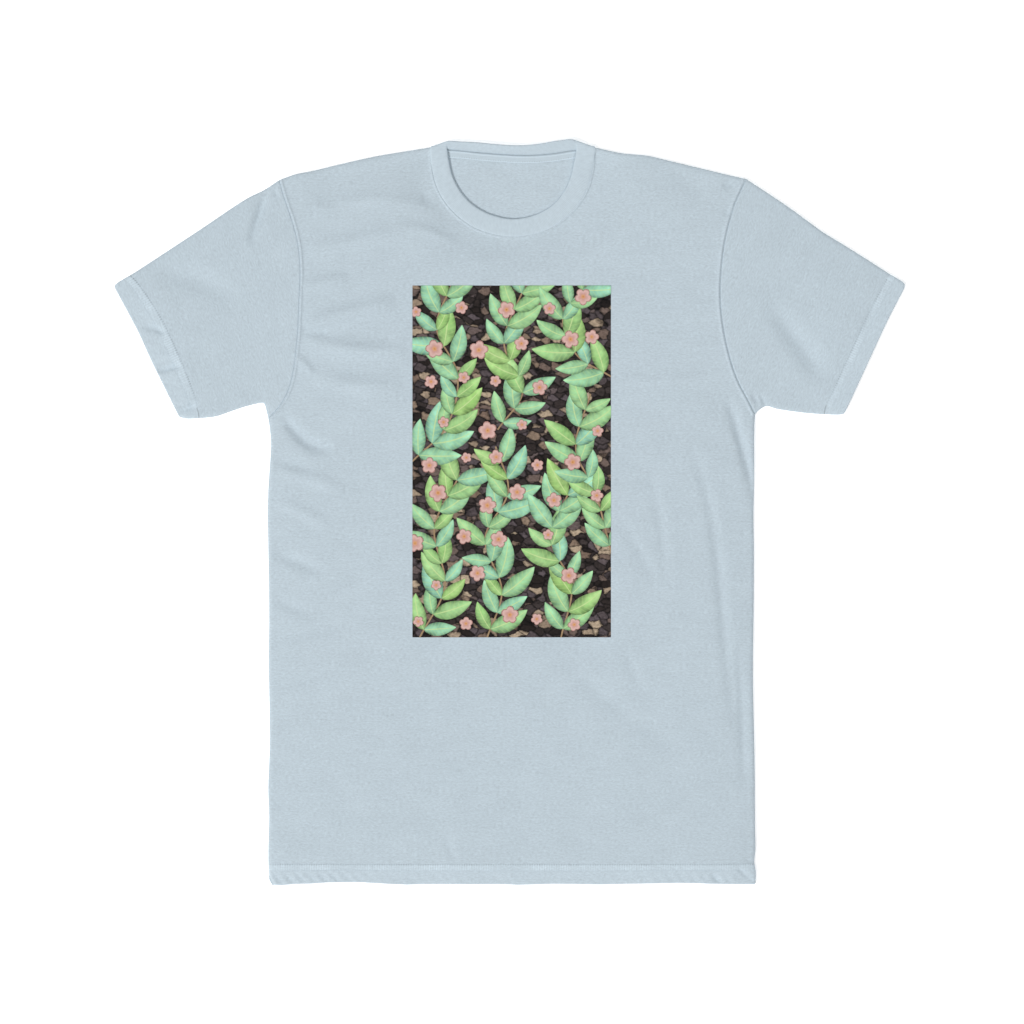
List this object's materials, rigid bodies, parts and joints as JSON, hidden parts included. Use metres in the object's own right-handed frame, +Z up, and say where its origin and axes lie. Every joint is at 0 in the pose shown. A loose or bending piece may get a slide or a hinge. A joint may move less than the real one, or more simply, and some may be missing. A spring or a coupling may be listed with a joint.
{
  "type": "t-shirt",
  "caption": "Short-sleeved crew-neck T-shirt laid flat, with set-in sleeves, a ribbed collar, stitched hems and a printed panel on the chest.",
  "frame": {"origin": "on the surface that the shirt lies on, under the middle of its outline", "axes": "+X towards the wearer's left, +Y from the hem to the collar, +Z up out of the chest"},
  "size_m": [0.751, 0.7101, 0.0133],
  "materials": {
    "jersey": "matte",
    "rib": "matte",
    "tape": "matte",
    "print": "matte"
  },
  "bodies": {
    "root": {"front_panel": "jersey", "back_panel": "jersey", "sleeve_right": "jersey", "sleeve_left": "jersey", "collar": "rib", "neck_tape": "tape", "chest_print": "print"}
  },
  "joints": []
}
